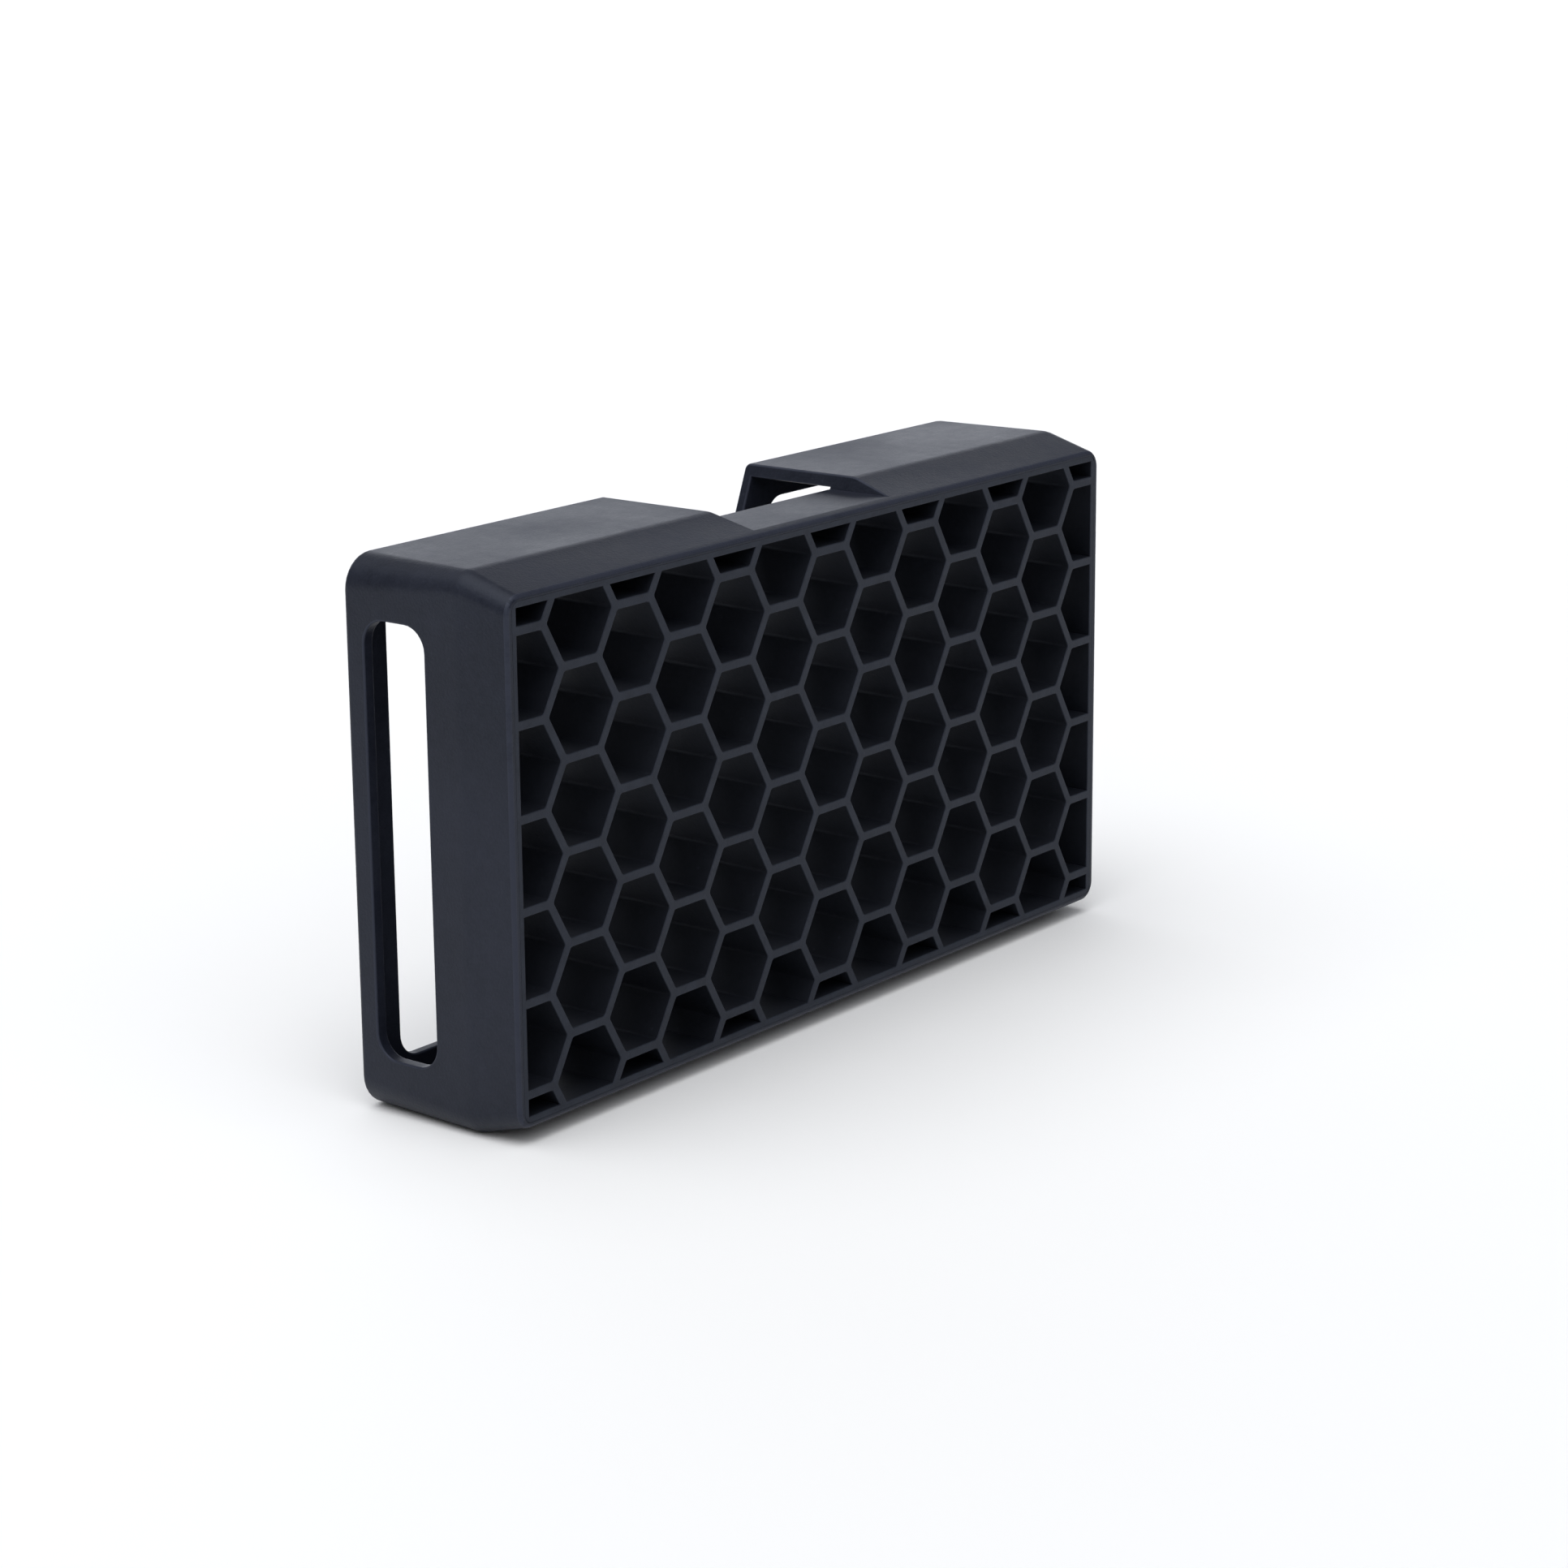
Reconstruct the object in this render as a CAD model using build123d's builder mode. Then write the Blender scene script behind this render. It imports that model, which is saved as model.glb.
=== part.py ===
from build123d import *
import math
import os

# A slip-on honeycomb grid for a flat pocket light: a soft sleeve that pulls over the light from
# the front, and a honeycomb core that is held in the sleeve's nose by a bead in a groove.
# Axes: +X along the length, +Y from the honeycomb towards the back, +Z up.
# The origin is under the middle of the object, on the face that it stands on. Sizes are in mm.

# ---- overall size ----
overall_length = 180.0
overall_height = 100.0
overall_depth = 37.0

# ---- sleeve walls and corners ----
sleeve_wall = 2.4
corner_radius = 5.0            # the four long outer corners
front_corner_radius = 3.2      # the same corners at the front face
chamber_corner_radius = 3.0
outer_edge_radius = 0.7        # round the front rim and the rear edge

# ---- nose: the tapered band round the honeycomb ----
nose_depth = 10.8
nose_drop = 3.2                # how far the top and bottom come in over the nose
nose_draw = 0.7                # how far each end comes in
front_land_high = 0.9          # the sleeve's own front edge, above and below the core
front_land_side = 1.3          # the sleeve's own front edge, at each end of the core

# ---- honeycomb core ----
core_depth = 16.0
core_border = 1.1
cell_pitch = 16.33             # between the centres of neighbouring cells
cell_wall = 1.65
cell_corner_radius = 0.7
cell_mouth_bevel = 0.2
cell_mouth_taper = 45.0        # degrees, so the bevel is as deep as it is wide
smallest_cell_opening = 1.5    # a cut cell that would show less than this is left solid
core_corner_radius = 1.6
fit_clearance = 0.05           # all round, between the core and the sleeve

# ---- bead on the core, groove in the sleeve ----
bead_height = 0.6
bead_width = 2.0
bead_setback = 7.0             # from the front face to the middle of the bead

# ---- lip behind the light ----
lip_thickness = 2.0
lip_reach = 7.3                # from the top and bottom faces to the lip's inner edge
lip_reach_at_ends = 8.5        # the same from the end faces
lip_corner_radius = 4.5

# ---- notch in the top wall ----
notch_width = 43.4             # at the top face
notch_slope = 22.0             # degrees from upright, each side
notch_floor_step = 0.3         # over the core, the notch's floor is this much below the wall
notch_depth = 12.0             # below the top face, behind the core
notch_corner_radius = 2.5
notch_strap = 8.0              # width of the lip where it runs round the notch

# ---- slot in the left end wall ----
slot_corner_radius = 4.5
slot_gap_to_core = 2.5         # from the back of the core to the slot's front edge
slot_gap_to_rear = 4.5         # from the slot's rear edge to the rear face
slot_gap_to_end = 10.5         # from the slot's ends to the top and bottom faces

# ---- places that follow from the sizes above ----
front_y = -overall_depth / 2
rear_y = overall_depth / 2
break_y = front_y + nose_depth
core_back_y = front_y + core_depth
lip_front_y = rear_y - lip_thickness
middle_z = overall_height / 2
front_length = overall_length - 2 * nose_draw
front_height = overall_height - 2 * nose_drop
pocket_length = front_length - 2 * front_land_side
pocket_height = front_height - 2 * front_land_high
core_length = pocket_length - 2 * fit_clearance
core_height = pocket_height - 2 * fit_clearance
opening_length = core_length - 2 * core_border
opening_height = core_height - 2 * core_border
chamber_length = overall_length - 2 * sleeve_wall
chamber_height = overall_height - 2 * sleeve_wall
notch_floor_z = overall_height - sleeve_wall - notch_floor_step
slot_front_y = core_back_y + slot_gap_to_core
slot_rear_y = rear_y - slot_gap_to_rear
slot_width = slot_rear_y - slot_front_y
slot_height = overall_height - 2 * slot_gap_to_end
bead_y = front_y + bead_setback
overcut = 1.0                  # how far a cutting shape runs past the face it opens


def upright_plane(y):
    """A plane that faces the front at depth y, centred on the height, with X along the length."""
    return Plane(origin=(0, y, middle_z), x_dir=(1, 0, 0), z_dir=(0, -1, 0))


def notch_outline(spread, floor_z):
    """The four corners of the notch in an upright plane, spread outwards, down to floor_z."""
    lean = math.tan(math.radians(notch_slope))
    side_shift = spread / math.cos(math.radians(notch_slope))
    top_z = overall_height + overcut
    half_top = notch_width / 2 + side_shift + overcut * lean
    half_floor = notch_width / 2 + side_shift - (overall_height - floor_z) * lean
    return [
        (-half_top, top_z - middle_z),
        (half_top, top_z - middle_z),
        (half_floor, floor_z - middle_z),
        (-half_floor, floor_z - middle_z),
    ]


def cell_centres():
    """Centres of the cells, in columns along X, every other column half a pitch higher."""
    column_step = cell_pitch * math.cos(math.radians(30))
    half_flat = (cell_pitch - cell_wall) / 2
    half_point = half_flat / math.cos(math.radians(30))
    reach_x = opening_length / 2 + half_point - smallest_cell_opening
    reach_z = opening_height / 2 + half_flat - smallest_cell_opening
    columns = int(reach_x // column_step)
    rows = int(reach_z // cell_pitch) + 1
    centres = []
    for column in range(-columns, columns + 1):
        lift = (column % 2) * cell_pitch / 2
        for row in range(-rows, rows + 1):
            z = row * cell_pitch + lift
            if abs(z) <= reach_z:
                centres.append((column * column_step, z))
    return centres


# ---- sleeve ----
with BuildPart() as sleeve:
    # nose, lofted from the front face out to the full section
    with BuildSketch(upright_plane(front_y)):
        RectangleRounded(front_length, front_height, front_corner_radius)
    with BuildSketch(upright_plane(break_y)):
        RectangleRounded(overall_length, overall_height, corner_radius)
    loft(ruled=True)
    # straight walls, from the break back to the rear face
    with BuildSketch(upright_plane(break_y)):
        RectangleRounded(overall_length, overall_height, corner_radius)
    extrude(amount=-(overall_depth - nose_depth))
    front_rim = sleeve.faces().sort_by(Axis.Y)[0].edges()
    rear_rim = sleeve.faces().sort_by(Axis.Y)[-1].edges()
    fillet(front_rim + rear_rim, radius=outer_edge_radius)
    # pocket for the core, open at the front
    with BuildSketch(upright_plane(front_y - overcut)):
        RectangleRounded(pocket_length, pocket_height, core_corner_radius + fit_clearance)
    extrude(amount=-(core_depth + overcut), mode=Mode.SUBTRACT)
    # groove for the bead
    groove_width = bead_width + 2 * fit_clearance
    with BuildSketch(upright_plane(bead_y - groove_width / 2)):
        RectangleRounded(
            pocket_length + 2 * bead_height,
            pocket_height + 2 * bead_height,
            core_corner_radius + bead_height + fit_clearance,
        )
    extrude(amount=-groove_width, mode=Mode.SUBTRACT)
    # chamber that takes the light
    with BuildSketch(upright_plane(core_back_y)):
        RectangleRounded(chamber_length, chamber_height, chamber_corner_radius)
    extrude(amount=-(lip_front_y - core_back_y), mode=Mode.SUBTRACT)
    # opening in the lip, which keeps a strap below the notch
    with BuildSketch(upright_plane(lip_front_y)) as lip_opening:
        Rectangle(overall_length - 2 * lip_reach_at_ends, overall_height - 2 * lip_reach)
        with BuildLine():
            Polyline(*notch_outline(notch_strap, overall_height - notch_depth - notch_strap), close=True)
        make_face(mode=Mode.SUBTRACT)
        fillet(lip_opening.vertices(), radius=lip_corner_radius)
    extrude(amount=-(lip_thickness + overcut), mode=Mode.SUBTRACT)
    # notch over the nose and the core: through the outer wall only
    with BuildSketch(upright_plane(front_y - overcut)):
        with BuildLine():
            Polyline(*notch_outline(0, notch_floor_z), close=True)
        make_face()
    extrude(amount=-(core_depth + overcut), mode=Mode.SUBTRACT)
    # notch behind the core: deeper, through the wall and the lip
    with BuildSketch(upright_plane(core_back_y)) as deep_notch:
        with BuildLine():
            Polyline(*notch_outline(0, overall_height - notch_depth), close=True)
        make_face()
        fillet(deep_notch.vertices().group_by(Axis.Z)[0], radius=notch_corner_radius)
    extrude(amount=-(overall_depth - core_depth + overcut), mode=Mode.SUBTRACT)
    # slot in the left end wall
    slot_plane = Plane(
        origin=(-overall_length / 2 - overcut, (slot_front_y + slot_rear_y) / 2, middle_z),
        x_dir=(0, -1, 0),
        z_dir=(-1, 0, 0),
    )
    with BuildSketch(slot_plane):
        RectangleRounded(slot_width, slot_height, slot_corner_radius)
    extrude(amount=-(sleeve_wall + 2 * overcut), mode=Mode.SUBTRACT)

# ---- honeycomb core ----
with BuildSketch(upright_plane(front_y)) as cells:
    with Locations(*cell_centres()):
        RegularPolygon((cell_pitch - cell_wall) / 2, 6, major_radius=False)
    Rectangle(opening_length, opening_height, mode=Mode.INTERSECT)
    fillet(cells.vertices(), radius=cell_corner_radius)

with BuildSketch(upright_plane(front_y)) as mouths:
    add(cells.sketch)
    offset(amount=cell_mouth_bevel)

with BuildPart() as honeycomb_core:
    with BuildSketch(upright_plane(front_y)):
        RectangleRounded(core_length, core_height, core_corner_radius)
    extrude(amount=-core_depth)
    with BuildSketch(upright_plane(bead_y - bead_width / 2)):
        RectangleRounded(
            core_length + 2 * bead_height,
            core_height + 2 * bead_height,
            core_corner_radius + bead_height,
        )
    extrude(amount=-bead_width)
    # the cells, right through, and the bevel round each front mouth
    extrude(cells.sketch, amount=-core_depth, mode=Mode.SUBTRACT)
    extrude(mouths.sketch, amount=-cell_mouth_bevel, taper=cell_mouth_taper, mode=Mode.SUBTRACT)

sleeve.part.label = "sleeve"
honeycomb_core.part.label = "honeycomb_core"

os.makedirs("parts", exist_ok=True)
export_step(sleeve.part, "parts/sleeve.step")
export_step(honeycomb_core.part, "parts/honeycomb_core.step")
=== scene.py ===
import math

import bmesh
import bpy
from mathutils import Matrix, Vector


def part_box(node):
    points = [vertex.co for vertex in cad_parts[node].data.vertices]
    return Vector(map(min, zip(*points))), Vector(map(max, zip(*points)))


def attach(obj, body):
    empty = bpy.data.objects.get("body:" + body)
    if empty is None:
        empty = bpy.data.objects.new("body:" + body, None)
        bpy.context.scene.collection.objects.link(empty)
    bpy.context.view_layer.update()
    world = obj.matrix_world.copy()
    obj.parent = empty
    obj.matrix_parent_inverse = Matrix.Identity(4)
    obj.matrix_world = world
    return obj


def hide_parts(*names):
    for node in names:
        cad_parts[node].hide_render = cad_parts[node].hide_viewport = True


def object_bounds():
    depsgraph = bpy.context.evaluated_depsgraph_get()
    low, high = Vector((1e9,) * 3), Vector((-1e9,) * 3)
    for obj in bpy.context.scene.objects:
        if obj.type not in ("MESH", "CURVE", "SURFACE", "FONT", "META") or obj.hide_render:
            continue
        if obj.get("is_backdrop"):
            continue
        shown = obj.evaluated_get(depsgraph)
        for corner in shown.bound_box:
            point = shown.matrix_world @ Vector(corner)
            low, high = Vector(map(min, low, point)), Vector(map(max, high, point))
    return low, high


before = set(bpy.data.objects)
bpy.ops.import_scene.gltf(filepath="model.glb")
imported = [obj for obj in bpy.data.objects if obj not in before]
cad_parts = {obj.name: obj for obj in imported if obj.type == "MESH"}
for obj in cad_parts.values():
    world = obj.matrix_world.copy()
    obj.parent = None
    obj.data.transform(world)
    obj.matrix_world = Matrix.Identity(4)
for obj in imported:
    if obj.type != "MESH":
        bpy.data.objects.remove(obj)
cad_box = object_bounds()

MM = 0.001

# ---- sizes of the sleeve, which its box in the frame completes ----
SLEEVE_WALL = 2.4 * MM
NOSE_DEPTH = 10.8 * MM
NOSE_DROP = 3.2 * MM             # how far the top and bottom come in over the nose
NOSE_DRAW = 0.7 * MM             # how far each end comes in
FRONT_CORNER = 3.4 * MM          # the long outer corners, which open out towards the rear
BREAK_CORNER = 4.2 * MM
REAR_CORNER = 6.2 * MM
FRONT_RIM = 0.7 * MM
REAR_RIM = 1.1 * MM
BREAK_SOFTNESS = 0.9 * MM        # each side of the crease where the nose starts
FIT_CLEARANCE = 0.05 * MM        # between the sleeve and the honeycomb
CHAMBER_CORNER = 3.0 * MM
LIP_THICKNESS = 2.0 * MM
LIP_REACH = 7.3 * MM             # from the top and bottom faces
LIP_REACH_AT_ENDS = 8.5 * MM
LIP_CORNER = 4.5 * MM
NOTCH_WIDTH = 43.4 * MM
NOTCH_LEAN = math.tan(math.radians(22.0))
NOTCH_DEPTH = 12.0 * MM
NOTCH_FLOOR_STEP = 0.3 * MM
NOTCH_CORNER = 2.5 * MM
NOTCH_STRAP = 8.0 * MM
SLOT_CORNER = 4.5 * MM
SLOT_GAP_TO_CORE = 2.5 * MM
SLOT_GAP_TO_REAR = 4.5 * MM
SLOT_GAP_TO_END = 10.5 * MM
OVERCUT = 1.0 * MM               # how far a cutting shape runs past the face it opens
ARC_STEPS = 8                    # faces round an outer or cut corner
RIM_TURNS = [math.radians(angle) for angle in (0, 18, 36, 54, 72, 90)]
BREAK_STEPS = 4                  # rings each side of the crease

# ---- sizes of the honeycomb, which its box in the frame completes ----
CELL_PITCH = 16.33 * MM
CELL_WALL = 1.65 * MM
CELL_CORNER = 0.7 * MM
LEAST_OPENING = 1.5 * MM
BORDER = 1.1 * MM
BEAD_HEIGHT = 0.6 * MM
BEAD_WIDTH = 2.0 * MM
BEAD_SETBACK = 7.0 * MM
CORE_CORNER = 1.6 * MM
WALL_WAVE = 0.22 * MM            # how far a soft wall strays from straight
WAVE_SCALE = 34.0
WAVE_SEED = 4
CELL_SPARE = 2.0 * MM            # how far the cells' cutting shapes run past the core
FILLET_STEPS = 4
COS_30 = math.cos(math.radians(30))

# ---- edges ----
CUT_EDGE = 0.35 * MM             # width of the rounding on the sleeve's cut edges
CELL_EDGE = 0.18 * MM
EDGE_STEPS = 3
WELD_DISTANCE = 0.01 * MM
FLAT_ANGLE = math.radians(0.5)   # faces that differ by less are joined
EDGE_ANGLE = math.radians(45)    # edges that turn by more are rounded
CREASE_ANGLE = math.radians(34)  # edges that turn by more are shaded as creases
# how much lighter the bevels and the front faces are drawn: part rubbed wear, part painted
# highlight
RUB_AND_HIGHLIGHT = "rubbed_edge"
EDGE_RUB_AND_HIGHLIGHT = 1.0
RIM_RUB_AND_HIGHLIGHT = 0.8

# ---- finishes: colours clean and dusty (the dusty one also lightens edges as a painted highlight), and how rough, worn and grained each one is ----
SLEEVE_FINISH = {
    "clean": (0.0066, 0.0080, 0.0145, 1.0),
    "dusty_and_highlight": (0.0245, 0.0275, 0.0420, 1.0),
    "roughness": 0.47,
    "wear": 0.66,
    "grain_depth": 0.16 * MM,
    "seed": 3.1,
}
CORE_FINISH = {
    "clean": (0.0030, 0.0037, 0.0065, 1.0),
    "dusty_and_highlight": (0.0215, 0.0250, 0.0355, 1.0),
    "roughness": 0.60,
    "wear": 0.22,
    "grain_depth": 0.12 * MM,
    "seed": 9.4,
}
BLOOM_SCALE = 24.0               # cloudy patches across a whole wall
MOTTLE_SCALE = 380.0
GRAIN_SCALE = 1900.0             # the mould's own grain
LINT_SCALE = 190.0
RUBBER_SHEEN = (0.79, 0.86, 1.0, 1.0)
PAPER_COLOUR = (0.97, 0.965, 0.955, 1.0)
FLOOR_REACH = 6.0

# ---- light ----
COOL_WHITE = (0.955, 0.97, 1.0)
WALL_WHITE = (0.88, 0.915, 1.0)
SKIES = {                        # direction, spread in degrees, strength
    "overhead": ((-0.22, 0.12, 1.0), 70, 1.80),
    "front_fill": ((-0.45, -0.55, 1.0), 76, 1.40),
}
BACK_WALL_PLACE = Vector((3.3, 4.4, 1.2))
BACK_WALL_TARGET = Vector((0, 0, 0.9))
BACK_WALL_SIZE = (7.0, 2.4)
BACK_WALL_POWER = 108.0
ROOM_GLOW = 0.12                 # what the room adds to the light
ROOM_COLOUR = (1.0, 1.0, 1.0, 1.0)
ROOM_SEEN = (0.98, 0.99, 1.0, 1.0)

# ---- where the camera stands: degrees, metres and millimetres of lens ----
VIEW_AZIMUTH = -52.11
VIEW_ELEVATION = 14.69
VIEW_ROLL = -0.50
VIEW_DISTANCE = 0.6996
VIEW_LENS = 87.4
VIEW_SENSOR = 36.0
VIEW_TARGET = Vector((-0.01471, -0.0185, 0.04925))


# ---------------------------------------------------------------- node building
class Sock:
    """A node's socket that arithmetic can be written with."""

    def __init__(self, tree, socket):
        self.tree = tree
        self.socket = socket

    def _math(self, operation, *values):
        return self.tree.node("ShaderNodeMath", {"operation": operation}, dict(enumerate(values)))

    def __add__(self, other):
        return self._math("ADD", self, other)

    def __radd__(self, other):
        return self._math("ADD", other, self)

    def __sub__(self, other):
        return self._math("SUBTRACT", self, other)

    def __rsub__(self, other):
        return self._math("SUBTRACT", other, self)

    def __mul__(self, other):
        return self._math("MULTIPLY", self, other)

    def __rmul__(self, other):
        return self._math("MULTIPLY", other, self)

    def __truediv__(self, other):
        return self._math("DIVIDE", self, other)

    def __rtruediv__(self, other):
        return self._math("DIVIDE", other, self)

    def __mod__(self, other):
        return self._math("MODULO", self, other)

    def __rmod__(self, other):
        return self._math("MODULO", other, self)

    def __gt__(self, other):
        return self._math("GREATER_THAN", self, other)

    def __lt__(self, other):
        return self._math("LESS_THAN", self, other)

    def __abs__(self):
        return self._math("ABSOLUTE", self)

    def __round__(self):
        return self._math("ROUND", self)

    def smaller_of(self, other):
        return self._math("MINIMUM", self, other)

    def clamp(self):
        return self.tree.node("ShaderNodeClamp", {}, {"Value": self})

    def outputs(self):
        """All the outputs of the node that this one is on, by name."""
        return {socket.name: Sock(self.tree, socket) for socket in self.socket.node.outputs}


class Tree:
    """A node tree with one way to add any node: its type, its settings, then its sockets."""

    def __init__(self, owner):
        self.nodes = owner.nodes
        self.links = owner.links

    def node(self, kind, settings=None, sockets=None, output=0):
        """Adds a node and gives one of its outputs; a socket takes a number, a link or several."""
        made = self.nodes.new(kind)
        for name, value in (settings or {}).items():
            setattr(made, name, value)
        for name, value in (sockets or {}).items():
            target = made.inputs[name]
            links = [value] if isinstance(value, Sock) else value if isinstance(value, list) else []
            for link in links:
                self.links.new(link.socket, target)
            if not links:
                target.default_value = value
        return Sock(self, made.outputs[output]) if made.outputs else None


def new_material(name):
    """An empty node material and its tree."""
    material = bpy.data.materials.new(name)
    material.use_nodes = True
    material.node_tree.nodes.clear()
    return material, Tree(material.node_tree)


# ---------------------------------------------------------------- materials
def moulded_rubber(name, finish):
    """Matt moulding: fine mould grain, cloudy bloom, lint specks, and edges lightened as rubbed
    wear and as a painted highlight.
    """
    material, t = new_material(name)
    seed = finish["seed"]
    place = t.node("ShaderNodeTexCoord", output=3)
    shifted = t.node(
        "ShaderNodeMapping", {}, {"Vector": place, "Location": (seed, seed * 1.7, -seed)}
    )

    def noise(scale, detail, roughness):
        return t.node(
            "ShaderNodeTexNoise",
            {},
            {"Vector": shifted, "Scale": scale, "Detail": detail, "Roughness": roughness},
        )

    def ramp(value, low, high, start, end):
        return t.node(
            "ShaderNodeMapRange",
            {},
            {"Value": value, "From Min": low, "From Max": high, "To Min": start, "To Max": end},
        )

    bloom = noise(BLOOM_SCALE, 4.0, 0.55)
    mottle = noise(MOTTLE_SCALE, 3.0, 0.6)
    grain = noise(GRAIN_SCALE, 2.0, 0.65)
    lint_cells = t.node(
        "ShaderNodeTexVoronoi", {"feature": "F1"}, {"Vector": shifted, "Scale": LINT_SCALE}
    )
    lint = ramp(lint_cells, 0.075, 0.03, 0.0, 1.0)
    # the lightened edges and front faces: part rubbed wear, part painted highlight
    edge = t.node("ShaderNodeAttribute", {"attribute_name": RUB_AND_HIGHLIGHT}, output=2)
    cloudy = ramp(bloom, 0.38, 0.64, 0.0, 1.0)
    speckle = ramp(grain * 0.5 + mottle * 0.5, 0.36, 0.66, 0.0, 1.0)
    worn = cloudy * 0.62 + speckle * 0.48
    # noise gives dust and lint; the edge mask lightens too, part wear and part painted highlight
    dust_and_edge_highlight = (worn * finish["wear"] + edge * (0.35 + mottle * 1.1) + lint * 0.30).clamp()
    colour = t.node(
        "ShaderNodeMix",
        {"data_type": "RGBA"},
        {"Factor": dust_and_edge_highlight, 6: finish["clean"], 7: finish["dusty_and_highlight"]},
        output=2,
    )
    bump = t.node(
        "ShaderNodeBump",
        {},
        {
            "Height": grain * 0.65 + mottle * 0.35,
            "Strength": 0.5,
            "Distance": finish["grain_depth"],
        },
    )
    matt = finish["roughness"]
    shader = t.node(
        "ShaderNodeBsdfPrincipled",
        {},
        {
            "Base Color": colour,
            "Roughness": ramp(worn, 0.0, 1.0, matt - 0.05, matt + 0.09),
            "Normal": bump,
            "IOR": 1.45,
            "Specular IOR Level": 0.34,
            "Specular Tint": RUBBER_SHEEN,
        },
    )
    t.node("ShaderNodeOutputMaterial", {}, {"Surface": shader})
    return material


def pale_paper():
    """The seamless pale floor."""
    material, t = new_material("pale_floor")
    shader = t.node(
        "ShaderNodeBsdfPrincipled",
        {},
        {"Base Color": PAPER_COLOUR, "Roughness": 0.75, "Specular IOR Level": 0.2},
    )
    t.node("ShaderNodeOutputMaterial", {}, {"Surface": shader})
    return material


# ---------------------------------------------------------------- honeycomb
def honeycomb_tree(material, sizes, counts):
    """A bordered block with a bead, and cells cut through it where they fall inside the border."""
    group = bpy.data.node_groups.new("honeycomb", "GeometryNodeTree")
    t = Tree(group)
    for names, kind in ((sizes, "NodeSocketFloat"), (counts, "NodeSocketInt")):
        for name in names:
            group.interface.new_socket(name, in_out="INPUT", socket_type=kind)
    group.interface.new_socket("Geometry", in_out="OUTPUT", socket_type="NodeSocketGeometry")
    given = t.node("NodeGroupInput").outputs()

    def vector(x, y, z):
        return t.node("ShaderNodeCombineXYZ", {}, {"X": x, "Y": y, "Z": z})

    def parts_of(value):
        return t.node("ShaderNodeSeparateXYZ", {}, {0: value}).outputs().values()

    def prism(outline, top, bottom):
        """A closed prism on a closed outline, between two heights."""
        filled = t.node("GeometryNodeFillCurve", {"mode": "NGONS"}, {"Curve": outline})
        lower = t.node(
            "GeometryNodeTransform",
            {},
            {"Geometry": filled, "Translation": vector(0.0, 0.0, bottom)},
        )
        risen = t.node(
            "GeometryNodeExtrudeMesh",
            {"mode": "FACES"},
            {"Mesh": lower, "Offset": vector(0.0, 0.0, top - bottom), "Individual": False},
        )
        base = t.node("GeometryNodeFlipFaces", {}, {"Mesh": lower})
        joined = t.node("GeometryNodeJoinGeometry", {}, {0: [base, risen]})
        return t.node(
            "GeometryNodeMergeByDistance", {}, {"Geometry": joined, "Distance": 0.001 * MM}
        )

    def fillet(outline, radius):
        return t.node(
            "GeometryNodeFilletCurve",
            {"mode": "POLY"},
            {"Curve": outline, "Radius": radius, "Count": FILLET_STEPS},
        )

    def rounded_rectangle(length, height, radius):
        outline = t.node(
            "GeometryNodeCurvePrimitiveQuadrilateral", {}, {"Width": length, "Height": height}
        )
        return fillet(outline, radius)

    def boolean(operation, sockets):
        return t.node(
            "GeometryNodeMeshBoolean", {"operation": operation, "solver": "EXACT"}, sockets
        )

    pitch, border, depth = given["Pitch"], given["Border"], given["Depth"]
    half_flat = (pitch - given["Wall"]) * 0.5
    half_point = half_flat * (1 / COS_30)
    step = pitch * COS_30
    open_length = given["Core Length"] - border * 2.0
    open_height = given["Core Height"] - border * 2.0

    # points where the cells stand, every other column half a pitch higher
    width = step * (given["Columns"] - 1.0)
    points = t.node(
        "GeometryNodeMeshGrid",
        {},
        {
            "Size X": width,
            "Size Y": pitch * (given["Rows"] - 1.0),
            "Vertices X": given["Columns"],
            "Vertices Y": given["Rows"],
        },
    )
    position = t.node("GeometryNodeInputPosition")
    x, y, _ = parts_of(position)
    odd = round((x + width * 0.5) / step) % 2.0
    staggered = t.node(
        "GeometryNodeSetPosition",
        {},
        {"Geometry": points, "Offset": vector(0.0, odd * pitch * 0.5, 0.0)},
    )
    too_high = abs(y) > open_height * 0.5 + half_flat - given["Least Opening"]
    too_far = abs(x) > open_length * 0.5 + half_point - given["Least Opening"]
    kept = t.node(
        "GeometryNodeDeleteGeometry",
        {"domain": "POINT"},
        {"Geometry": staggered, "Selection": too_high + too_far},
    )

    # one cell, then all of them, trimmed to the border's opening
    hexagon = t.node(
        "GeometryNodeCurvePrimitiveCircle",
        {"mode": "RADIUS"},
        {"Resolution": 6, "Radius": half_point},
    )
    cell = prism(fillet(hexagon, given["Cell Corner"]), CELL_SPARE, 0.0 - depth - CELL_SPARE)
    placed = t.node("GeometryNodeInstanceOnPoints", {}, {"Points": kept, "Instance": cell})
    cells = t.node("GeometryNodeRealizeInstances", {}, {"Geometry": placed})
    trim = t.node(
        "GeometryNodeMeshCube", {}, {"Size": vector(open_length, open_height, depth * 4.0)}
    )
    cutters = boolean("INTERSECT", {"Mesh 2": [cells, trim]})

    # the bordered block and its bead
    block = prism(
        rounded_rectangle(given["Core Length"], given["Core Height"], given["Core Corner"]),
        0.0,
        0.0 - depth,
    )
    bead_outline = rounded_rectangle(
        given["Core Length"] + given["Bead Height"] * 2.0,
        given["Core Height"] + given["Bead Height"] * 2.0,
        given["Core Corner"] + given["Bead Height"],
    )
    bead = prism(
        bead_outline,
        given["Bead Width"] * 0.5 - given["Bead Setback"],
        given["Bead Width"] * -0.5 - given["Bead Setback"],
    )
    solid = boolean("UNION", {"Mesh 2": [block, bead]})
    body = boolean("DIFFERENCE", {"Mesh 1": solid, "Mesh 2": cutters})

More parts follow.
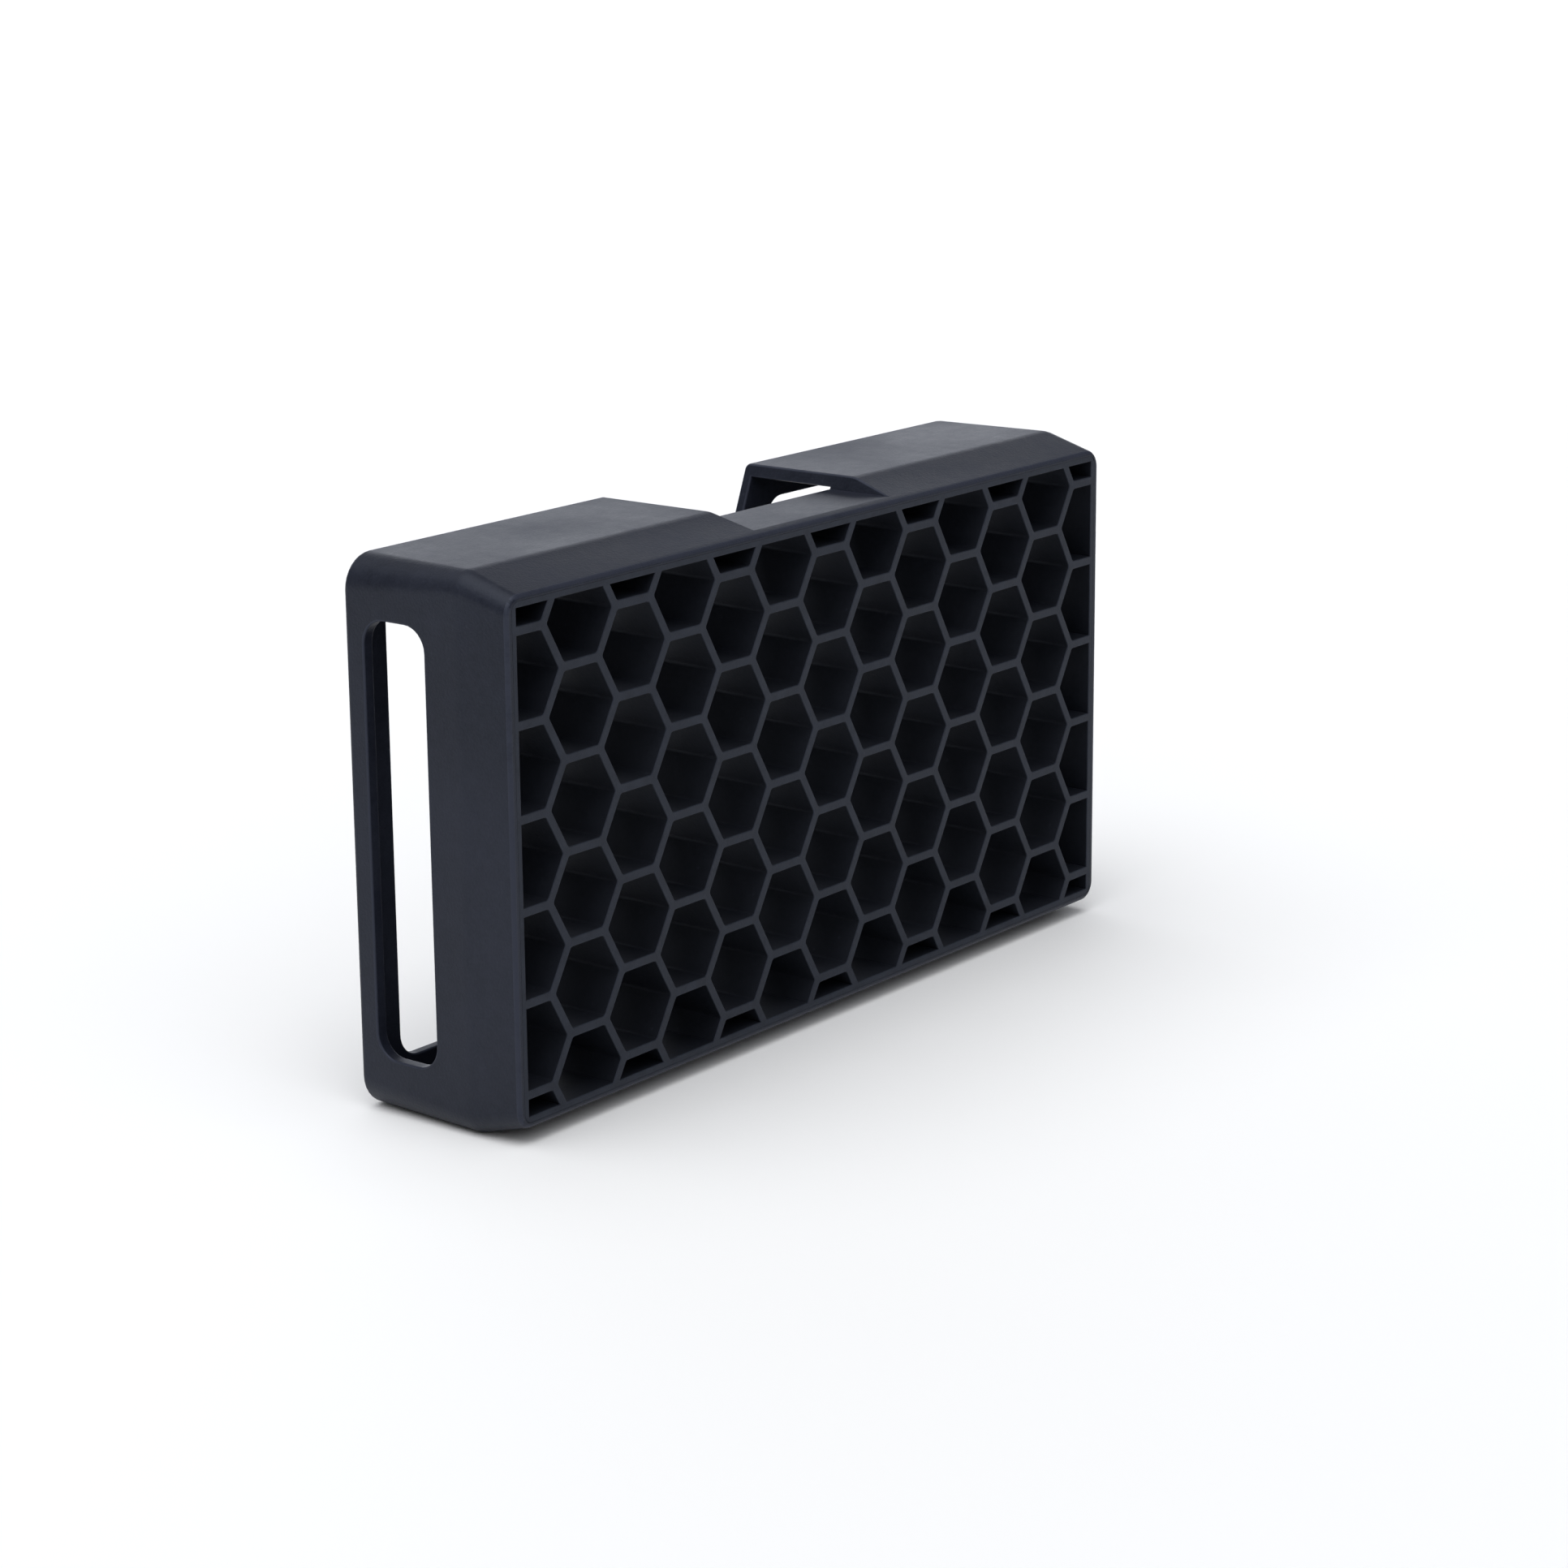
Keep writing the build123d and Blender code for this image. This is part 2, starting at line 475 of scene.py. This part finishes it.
    # soft walls are never quite straight: a slow wave that dies out towards the border
    wave = t.node(
        "ShaderNodeTexNoise",
        {"noise_dimensions": "4D"},
        {"Vector": position, "W": given["Seed"] * 1.0, "Scale": WAVE_SCALE, "Detail": 1.0},
        output=1,
    )
    wave_x, wave_y, _ = parts_of(wave)
    room = (open_length * 0.5 - abs(x)).smaller_of(open_height * 0.5 - abs(y))
    fade = (room / pitch).clamp()
    stray = [(part - 0.5) * 2.0 * given["Wave"] * fade for part in (wave_x, wave_y)]
    waved = t.node(
        "GeometryNodeSetPosition", {}, {"Geometry": body, "Offset": vector(*stray, 0.0)}
    )
    real = t.node("GeometryNodeRealizeInstances", {}, {"Geometry": waved})
    painted = t.node("GeometryNodeSetMaterial", {}, {"Geometry": real, "Material": material})
    t.node("NodeGroupOutput", {}, {0: painted})
    return group


def link_in(name, data):
    """A new object in the scene."""
    made = bpy.data.objects.new(name, data)
    bpy.context.scene.collection.objects.link(made)
    return made


def plain_mesh(owner, name):
    """The evaluated shape of an object as a new object with a plain mesh."""
    bpy.context.view_layer.update()
    graph = bpy.context.evaluated_depsgraph_get()
    mesh = bpy.data.meshes.new_from_object(owner.evaluated_get(graph))
    bpy.data.objects.remove(owner)
    return link_in(name, mesh)


def finish_edges(piece, width, stays_sharp, on_the_rim):
    """Rounds the outward edges that cutting leaves sharp, marks them and the front faces to be
    drawn lighter as rubbed wear and painted highlight, and evens out the shading.
    """
    shape = bmesh.new()
    shape.from_mesh(piece.data)
    bmesh.ops.remove_doubles(shape, verts=shape.verts, dist=WELD_DISTANCE)
    bmesh.ops.dissolve_limit(
        shape, angle_limit=FLAT_ANGLE, verts=shape.verts, edges=shape.edges, delimit=set()
    )
    sharp = [
        edge
        for edge in shape.edges
        if edge.is_manifold
        and edge.calc_face_angle_signed() > EDGE_ANGLE
        and not all(stays_sharp(vert.co) for vert in edge.verts)
    ]
    rub_and_highlight = shape.faces.layers.float.new(RUB_AND_HIGHLIGHT)
    made = bmesh.ops.bevel(
        shape,
        geom=sharp,
        offset=width,
        segments=EDGE_STEPS,
        profile=0.5,
        affect="EDGES",
        clamp_overlap=False,
        material=-1,
    )
    # bevels and front faces are drawn lighter: part rubbed wear, part painted highlight
    for face in made["faces"]:
        face[rub_and_highlight] = EDGE_RUB_AND_HIGHLIGHT
    for face in shape.faces:
        if on_the_rim(face.calc_center_median()):
            face[rub_and_highlight] = RIM_RUB_AND_HIGHLIGHT
    shape.to_mesh(piece.data)
    shape.free()
    piece.data.shade_smooth()
    piece.data.set_sharp_from_angle(angle=CREASE_ANGLE)
    even = piece.modifiers.new("even_faces", "WEIGHTED_NORMAL")
    even.keep_sharp = True
    return plain_mesh(piece, piece.name)


def make_honeycomb(material):
    low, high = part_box("honeycomb_core")
    core_length = high.x - low.x - 2 * BEAD_HEIGHT
    core_height = high.z - low.z - 2 * BEAD_HEIGHT
    middle = (low.z + high.z) / 2
    side_columns = math.ceil(core_length / 2 / (CELL_PITCH * COS_30))
    side_columns += side_columns % 2  # an even number, so that the middle column isn't raised
    side_rows = math.ceil(core_height / 2 / CELL_PITCH)
    sizes = {
        "Pitch": CELL_PITCH,
        "Wall": CELL_WALL,
        "Cell Corner": CELL_CORNER,
        "Least Opening": LEAST_OPENING,
        "Core Length": core_length,
        "Core Height": core_height,
        "Core Corner": CORE_CORNER,
        "Border": BORDER,
        "Depth": high.y - low.y,
        "Bead Height": BEAD_HEIGHT,
        "Bead Width": BEAD_WIDTH,
        "Bead Setback": BEAD_SETBACK,
        "Wave": WALL_WAVE,
    }
    counts = {"Columns": 2 * side_columns + 1, "Rows": 2 * side_rows + 1, "Seed": WAVE_SEED}
    owner = link_in("honeycomb_source", bpy.data.meshes.new("honeycomb_source"))
    modifier = owner.modifiers.new("honeycomb", "NODES")
    modifier.node_group = honeycomb_tree(material, sizes, counts)
    for item in modifier.node_group.interface.items_tree:
        if item.item_type == "SOCKET" and item.in_out == "INPUT":
            modifier[item.identifier] = {**sizes, **counts}[item.name]
    piece = plain_mesh(owner, "honeycomb")
    stand_up = Matrix.Rotation(math.radians(90), 4, "X")
    piece.data.transform(Matrix.Translation((0, low.y, middle)) @ stand_up)

    def on_the_outside(place):
        """The faces that bear on the sleeve stay crisp, so that the joint is a hairline."""
        return (
            abs(place.x) > core_length / 2 - 2 * CELL_EDGE
            or abs(place.z - middle) > core_height / 2 - 2 * CELL_EDGE
        )

    # the front faces of the walls and border are drawn lighter: part rubbed wear, part painted
    # highlight
    def on_the_front(place):
        return place.y < low.y + CELL_EDGE

    piece = finish_edges(piece, CELL_EDGE, on_the_outside, on_the_front)
    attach(piece, "root")
    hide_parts("honeycomb_core")


# ---------------------------------------------------------------- sleeve
def rounded(corners, radii):
    """A closed outline with its corners rounded, each by its own radius."""
    outline = []
    for i, (here, radius) in enumerate(zip(corners, radii)):
        here = Vector(here)
        to_last = (Vector(corners[i - 1]) - here).normalized()
        to_next = (Vector(corners[(i + 1) % len(corners)]) - here).normalized()
        if radius <= 0:
            outline.append(here)
            continue
        half_angle = to_last.angle(to_next) / 2
        middle = here + (to_last + to_next).normalized() * radius / math.sin(half_angle)
        start = here + to_last * radius / math.tan(half_angle) - middle
        end = here + to_next * radius / math.tan(half_angle) - middle
        sweep = start.angle(end)
        for k in range(ARC_STEPS + 1):
            done = sweep * k / ARC_STEPS
            arm = start * math.sin(sweep - done) + end * math.sin(done)
            outline.append(middle + arm / math.sin(sweep))
    return outline


def rectangle(length, height, radius):
    """A rounded rectangle about the middle, in X and Z."""
    x, z = length / 2, height / 2
    return rounded([(-x, -z), (x, -z), (x, z), (-x, z)], [radius] * 4)


def upright(outline, y, middle):
    """A flat outline stood up at depth y."""
    return [(x, y, middle + z) for x, z in outline]


def skin(rings, name):
    """A closed solid through rings of equally many points, with both ends capped."""
    shape = bmesh.new()
    rows = [[shape.verts.new(point) for point in ring] for ring in rings]
    for row, following in zip(rows, rows[1:]):
        for i in range(len(row)):
            j = (i + 1) % len(row)
            shape.faces.new((row[i], row[j], following[j], following[i]))
    shape.faces.new(rows[0])
    shape.faces.new(rows[-1])
    bmesh.ops.recalc_face_normals(shape, faces=shape.faces)
    mesh = bpy.data.meshes.new(name)
    shape.to_mesh(mesh)
    shape.free()
    return link_in(name, mesh)


def cut_away(piece, cutters):
    """Cuts shapes out of a piece, one after the other, and clears them away."""
    for cutter in cutters:
        cut = piece.modifiers.new(cutter.name, "BOOLEAN")
        cut.operation = "DIFFERENCE"
        cut.solver = "EXACT"
        cut.object = cutter
    made = plain_mesh(piece, piece.name)
    for cutter in cutters:
        bpy.data.objects.remove(cutter)
    return made


def notch_corners(spread, top, floor, height):
    """The notch's outline, spread outwards, floor first; heights are from the middle."""
    shift = spread * math.hypot(1, NOTCH_LEAN)
    half_top = NOTCH_WIDTH / 2 + shift + (top - height / 2) * NOTCH_LEAN
    half_floor = NOTCH_WIDTH / 2 + shift + (floor - height / 2) * NOTCH_LEAN
    return [(-half_floor, floor), (half_floor, floor), (half_top, top), (-half_top, top)]


def make_sleeve(material):
    low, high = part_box("sleeve")
    core_low, core_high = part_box("honeycomb_core")
    length, height = high.x - low.x, high.z - low.z
    middle = (high.z + low.z) / 2
    top = height / 2
    break_y = low.y + NOSE_DEPTH
    lip_y = high.y - LIP_THICKNESS
    pocket_length = core_high.x - core_low.x - 2 * (BEAD_HEIGHT - FIT_CLEARANCE)
    pocket_height = core_high.z - core_low.z - 2 * (BEAD_HEIGHT - FIT_CLEARANCE)

    def outer_ring(y, inset):
        """The sleeve's section at depth y, drawn in by an inset where an edge is rounded."""
        nose = min(max((break_y - y) / NOSE_DEPTH, 0), 1)
        body = min(max((y - break_y) / (high.y - break_y), 0), 1)
        near_break = max(0, 1 - abs(y - break_y) / BREAK_SOFTNESS)
        bend = near_break**2 * BREAK_SOFTNESS / NOSE_DEPTH / 4
        corner = BREAK_CORNER + (FRONT_CORNER - BREAK_CORNER) * nose
        corner += (REAR_CORNER - BREAK_CORNER) * body
        section = rectangle(
            length - 2 * (NOSE_DRAW * (nose + bend) + inset),
            height - 2 * (NOSE_DROP * (nose + bend) + inset),
            corner - inset,
        )
        return upright(section, y, middle)

    def rim_rings(start, radius, turns):
        """Rings round a rim, from the face at start inwards; below 0, the radius runs forwards."""
        inset = abs(radius)
        return [
            outer_ring(start + radius * (1 - math.cos(turn)), inset * (1 - math.sin(turn)))
            for turn in turns
        ]

    rings = rim_rings(low.y, FRONT_RIM, RIM_TURNS)
    rings += [
        outer_ring(break_y + BREAK_SOFTNESS * k / BREAK_STEPS, 0)
        for k in range(-BREAK_STEPS, BREAK_STEPS + 1)
    ]
    rings += rim_rings(high.y, -REAR_RIM, RIM_TURNS[::-1])
    sleeve = skin(rings, "grid_sleeve")

    def cutter(name, outline, start, end):
        return skin([upright(outline, start, middle), upright(outline, end, middle)], name)

    front, back = low.y - OVERCUT, high.y + OVERCUT
    groove_y = low.y + BEAD_SETBACK
    groove_reach = BEAD_WIDTH / 2 + FIT_CLEARANCE
    lip_x, lip_z = length / 2 - LIP_REACH_AT_ENDS, top - LIP_REACH
    strap = notch_corners(NOTCH_STRAP, lip_z, top - NOTCH_DEPTH - NOTCH_STRAP, height)
    floor_left, floor_right, top_right, top_left = strap
    lip_corners = [
        (-lip_x, -lip_z), (lip_x, -lip_z), (lip_x, lip_z),
        top_right, floor_right, floor_left, top_left,
        (-lip_x, lip_z),
    ]
    shallow_floor = top - SLEEVE_WALL - NOTCH_FLOOR_STEP
    deep_notch = notch_corners(0, top + OVERCUT, top - NOTCH_DEPTH, height)
    slot_front = core_high.y + SLOT_GAP_TO_CORE
    slot_rear = high.y - SLOT_GAP_TO_REAR
    slot_middle = (slot_front + slot_rear) / 2
    slot = rectangle(slot_rear - slot_front, height - 2 * SLOT_GAP_TO_END, SLOT_CORNER)
    cutters = [
        cutter(
            "pocket",
            rectangle(pocket_length, pocket_height, CORE_CORNER + FIT_CLEARANCE),
            front,
            core_high.y,
        ),
        cutter(
            "groove",
            rectangle(
                pocket_length + 2 * BEAD_HEIGHT,
                pocket_height + 2 * BEAD_HEIGHT,
                CORE_CORNER + BEAD_HEIGHT,
            ),
            groove_y - groove_reach,
            groove_y + groove_reach,
        ),
        cutter(
            "chamber",
            rectangle(length - 2 * SLEEVE_WALL, height - 2 * SLEEVE_WALL, CHAMBER_CORNER),
            core_high.y,
            lip_y,
        ),
        cutter(
            "lip_opening",
            rounded(lip_corners, [LIP_CORNER] * len(lip_corners)),
            lip_y - OVERCUT,
            back,
        ),
        cutter(
            "shallow_notch",
            notch_corners(0, top + OVERCUT, shallow_floor, height),
            front,
            core_high.y + OVERCUT,
        ),
        cutter(
            "deep_notch",
            rounded(deep_notch, [NOTCH_CORNER, NOTCH_CORNER, 0, 0]),
            core_high.y,
            back,
        ),
        skin(
            [
                [(x, slot_middle + across, middle + up) for across, up in slot]
                for x in (low.x - OVERCUT, low.x + SLEEVE_WALL + OVERCUT)
            ],
            "slot",
        ),
    ]
    sleeve = cut_away(sleeve, cutters)
    sleeve.data.materials.clear()
    sleeve.data.materials.append(material)

    def at_the_pocket(place):
        return (
            place.y < core_high.y
            and abs(place.x) < pocket_length / 2 + CUT_EDGE
            and abs(place.z - middle) < pocket_height / 2 + CUT_EDGE
        )

    # the front rim is drawn lighter: part rubbed wear, part painted highlight
    def on_the_rim(place):
        return low.y < place.y < low.y + FRONT_RIM and not at_the_pocket(place)

    sleeve = finish_edges(sleeve, CUT_EDGE, at_the_pocket, on_the_rim)
    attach(sleeve, "root")
    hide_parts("sleeve")


# ---------------------------------------------------------------- stage
def make_floor():
    r = FLOOR_REACH
    mesh = bpy.data.meshes.new("floor")
    mesh.from_pydata([(-r, -r, 0), (r, -r, 0), (r, r, 0), (-r, r, 0)], [], [(0, 1, 2, 3)])
    mesh.materials.append(pale_paper())
    link_in("floor", mesh)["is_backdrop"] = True


def add_light(name, kind, colour, power, direction):
    """A light that shines away from a direction, with the lamp itself to finish."""
    light = bpy.data.lights.new(name, kind)
    light.color = colour
    light.energy = power
    holder = link_in(name, light)
    holder.rotation_mode = "QUATERNION"
    holder.rotation_quaternion = direction.to_track_quat("Z", "Y")
    return light, holder


def make_light():
    """Soft light from above and the front, and a long pale wall behind that the tops catch."""
    world = bpy.data.worlds.new("studio")
    world.use_nodes = True
    world.node_tree.nodes.clear()
    t = Tree(world.node_tree)
    # the room looks pale where it shows above the floor, but adds little light of its own
    dim = t.node("ShaderNodeBackground", {}, {"Color": ROOM_COLOUR, "Strength": ROOM_GLOW})
    pale = t.node("ShaderNodeBackground", {}, {"Color": ROOM_SEEN, "Strength": 1.0})
    seen = t.node("ShaderNodeLightPath")
    room = t.node("ShaderNodeMixShader", {}, {0: seen, 1: dim, 2: pale})
    t.node("ShaderNodeOutputWorld", {}, {"Surface": room})
    bpy.context.scene.world = world
    bpy.context.scene.view_settings.view_transform = "Standard"
    for name, (direction, spread, strength) in SKIES.items():
        sky, _ = add_light(name, "SUN", COOL_WHITE, strength, Vector(direction))
        sky.angle = math.radians(spread)
    wall, holder = add_light(
        "back_wall", "AREA", WALL_WHITE, BACK_WALL_POWER, BACK_WALL_PLACE - BACK_WALL_TARGET
    )
    wall.shape = "RECTANGLE"
    wall.size, wall.size_y = BACK_WALL_SIZE
    holder.location = BACK_WALL_PLACE


def make_camera():
    a, e, roll = (math.radians(v) for v in (VIEW_AZIMUTH, VIEW_ELEVATION, VIEW_ROLL))
    back = Vector((math.sin(a) * math.cos(e), -math.cos(a) * math.cos(e), math.sin(e)))
    right = (-back).cross(Vector((0, 0, 1))).normalized()
    up = right.cross(-back)
    turned_right = right * math.cos(roll) + up * math.sin(roll)
    turned_up = up * math.cos(roll) - right * math.sin(roll)
    camera = link_in("camera", bpy.data.cameras.new("camera"))
    camera.data.sensor_width = VIEW_SENSOR
    camera.data.lens = VIEW_LENS
    axes = Matrix((turned_right, turned_up, back)).transposed().to_4x4()
    camera.matrix_world = Matrix.Translation(VIEW_TARGET + back * VIEW_DISTANCE) @ axes
    bpy.context.scene.camera = camera


make_camera()
make_light()
make_floor()
make_honeycomb(moulded_rubber("core_plastic", CORE_FINISH))
make_sleeve(moulded_rubber("sleeve_rubber", SLEEVE_FINISH))

visual_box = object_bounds()
{"cad": [list(c) for c in cad_box], "visual": [list(c) for c in visual_box]}
